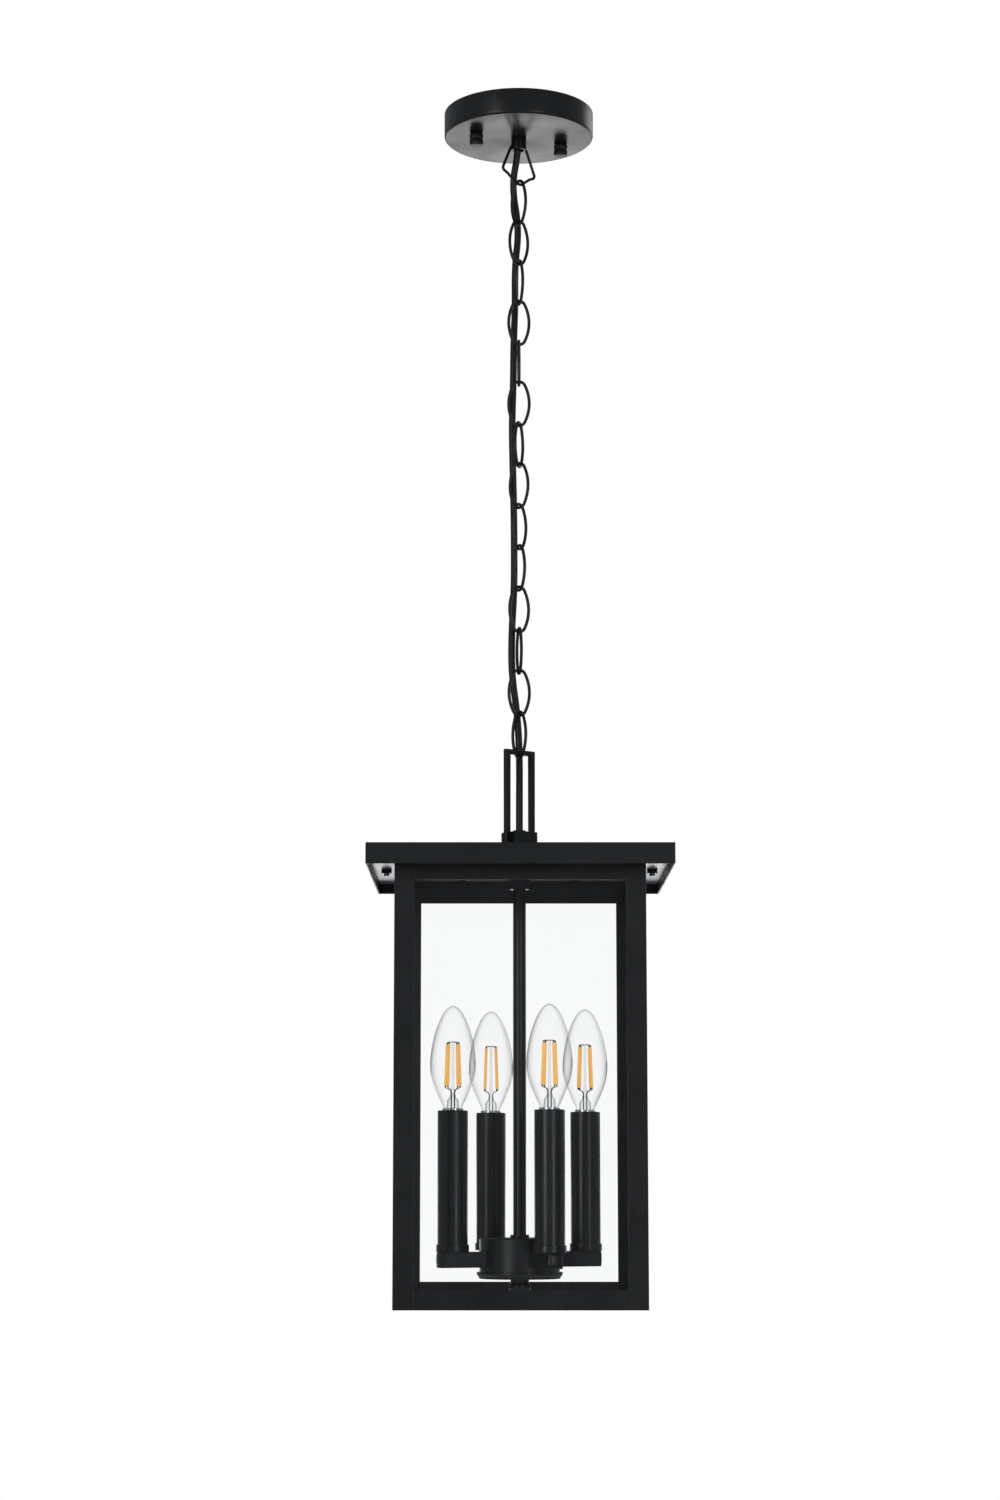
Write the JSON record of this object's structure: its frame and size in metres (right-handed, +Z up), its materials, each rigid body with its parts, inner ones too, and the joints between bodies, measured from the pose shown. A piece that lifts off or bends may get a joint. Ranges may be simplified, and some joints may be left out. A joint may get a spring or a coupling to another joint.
{
  "type": "hanging lantern",
  "caption": "Square clear-glass lantern with candle lamps, hung on a chain from a round ceiling canopy.",
  "frame": {"origin": "centre of the canopy's rim, on the ceiling plane", "axes": "+Z up towards the ceiling, +X along the lantern's front, from left to right seen from in front (-Y)"},
  "size_m": [0.231, 0.231, 0.953],
  "materials": {
    "black_paint": "satin powder coat",
    "hardware_steel": "zinc plated",
    "earth_green": "satin",
    "pane_glass": "clear",
    "lamp_glass": "clear",
    "filament": "phosphor coated",
    "lamp_base": "plated",
    "socket_plastic": "moulded phenolic",
    "cord_jacket": "matte jacket",
    "plate_finish": "satin grey"
  },
  "bodies": {
    "ceiling_mount": {"canopy": "black_paint", "crossbar": "hardware_steel", "crossbar_nipple": "hardware_steel", "nipple_lock_nuts": "hardware_steel", "canopy_screws": "hardware_steel", "canopy_cap_nuts": "black_paint", "ground_screw": "earth_green", "canopy_collar": "black_paint", "supply_cord": "cord_jacket"},
    "bail": {"bail_loop": "black_paint"},
    "link_01": {"chain_link_01": "black_paint"},
    "link_02": {"chain_link_02": "black_paint"},
    "link_03": {"chain_link_03": "black_paint"},
    "link_04": {"chain_link_04": "black_paint"},
    "link_05": {"chain_link_05": "black_paint"},
    "link_06": {"chain_link_06": "black_paint"},
    "link_07": {"chain_link_07": "black_paint"},
    "link_08": {"chain_link_08": "black_paint"},
    "link_09": {"chain_link_09": "black_paint"},
    "link_10": {"chain_link_10": "black_paint"},
    "link_11": {"chain_link_11": "black_paint"},
    "link_12": {"chain_link_12": "black_paint"},
    "link_13": {"chain_link_13": "black_paint"},
    "link_14": {"chain_link_14": "black_paint"},
    "lantern": {"hanger_loop": "black_paint", "hanger_block": "black_paint", "cord_bushing": "cord_jacket", "hanger_nipple": "hardware_steel", "roof_cover": "black_paint", "roof_studs": "hardware_steel", "roof_nuts": "black_paint", "top_plate": "plate_finish", "stem_coupling": "black_paint", "stem": "black_paint", "stem_lead": "cord_jacket", "stem_seat": "black_paint", "hub_cup": "black_paint", "hub_base": "black_paint", "hub_finial": "black_paint", "lamp_arms": "black_paint", "arm_plugs": "black_paint", "arm_leads": "cord_jacket", "candle_cups": "black_paint", "candle_sleeves": "black_paint", "socket_posts": "hardware_steel", "lamp_sockets": "socket_plastic", "bulb_bases": "lamp_base", "bulb_glass": "lamp_glass", "bulb_filaments": "filament", "corner_post_1": "black_paint", "corner_post_2": "black_paint", "corner_post_3": "black_paint", "corner_post_4": "black_paint", "top_rails": "black_paint", "bottom_rails": "black_paint", "glass_pane_front": "pane_glass", "glass_pane_right": "pane_glass", "glass_pane_back": "pane_glass", "glass_pane_left": "pane_glass", "glass_clips": "black_paint"}
  },
  "joints": [
    {"name": "bail_swing", "type": "hinge", "parent": "ceiling_mount", "child": "bail", "pos_m": [0, 0, -0.028], "axis": [0.7431, 0.6691, 0], "range_deg": [-40, 40], "deforming": ["supply_cord"]},
    {"name": "link_01_swing", "type": "hinge", "parent": "bail", "child": "link_01", "pos_m": [0, 0, -0.05865], "axis": [0.7431, 0.6691, 0], "range_deg": [-40, 40]},
    {"name": "link_02_swing", "type": "hinge", "parent": "link_01", "child": "link_02", "pos_m": [0, 0, -0.0923], "axis": [0.6691, -0.7431, 0], "range_deg": [-40, 40]},
    {"name": "link_03_swing", "type": "hinge", "parent": "link_02", "child": "link_03", "pos_m": [0, 0, -0.12585], "axis": [-0.8829, -0.4695, 0], "range_deg": [-40, 40]},
    {"name": "link_04_swing", "type": "hinge", "parent": "link_03", "child": "link_04", "pos_m": [0, 0, -0.1594], "axis": [-0.3746, 0.9272, 0], "range_deg": [-40, 40]},
    {"name": "link_05_swing", "type": "hinge", "parent": "link_04", "child": "link_05", "pos_m": [0, 0, -0.19295], "axis": [0.9903, 0.1392, 0], "range_deg": [-40, 40]},
    {"name": "link_06_swing", "type": "hinge", "parent": "link_05", "child": "link_06", "pos_m": [0, 0, -0.2265], "axis": [-0.0349, -0.9994, 0], "range_deg": [-40, 40]},
    {"name": "link_07_swing", "type": "hinge", "parent": "link_06", "child": "link_07", "pos_m": [0, 0, -0.26005], "axis": [0.9976, -0.0698, 0], "range_deg": [-40, 40]},
    {"name": "link_08_swing", "type": "hinge", "parent": "link_07", "child": "link_08", "pos_m": [0, 0, -0.2936], "axis": [0.3746, 0.9272, 0], "range_deg": [-40, 40]},
    {"name": "link_09_swing", "type": "hinge", "parent": "link_08", "child": "link_09", "pos_m": [0, 0, -0.32715], "axis": [-0.866, 0.5, 0], "range_deg": [-40, 40]},
    {"name": "link_10_swing", "type": "hinge", "parent": "link_09", "child": "link_10", "pos_m": [0, 0, -0.3607], "axis": [-0.6691, -0.7431, 0], "range_deg": [-40, 40]},
    {"name": "link_11_swing", "type": "hinge", "parent": "link_10", "child": "link_11", "pos_m": [0, 0, -0.39425], "axis": [0.5299, -0.848, 0], "range_deg": [-40, 40]},
    {"name": "link_12_swing", "type": "hinge", "parent": "link_11", "child": "link_12", "pos_m": [0, 0, -0.4278], "axis": [0.9135, 0.4067, 0], "range_deg": [-40, 40]},
    {"name": "link_13_swing", "type": "hinge", "parent": "link_12", "child": "link_13", "pos_m": [0, 0, -0.46135], "axis": [-0.2079, 0.9781, 0], "range_deg": [-40, 40]},
    {"name": "link_14_swing", "type": "hinge", "parent": "link_13", "child": "link_14", "pos_m": [0, 0, -0.4949], "axis": [-0.9781, -0.2079, 0], "range_deg": [-40, 40]},
    {"name": "lantern_swing", "type": "hinge", "parent": "link_14", "child": "lantern", "pos_m": [0, 0, -0.52845], "axis": [0.6157, -0.788, 0], "range_deg": [-30, 30]}
  ]
}
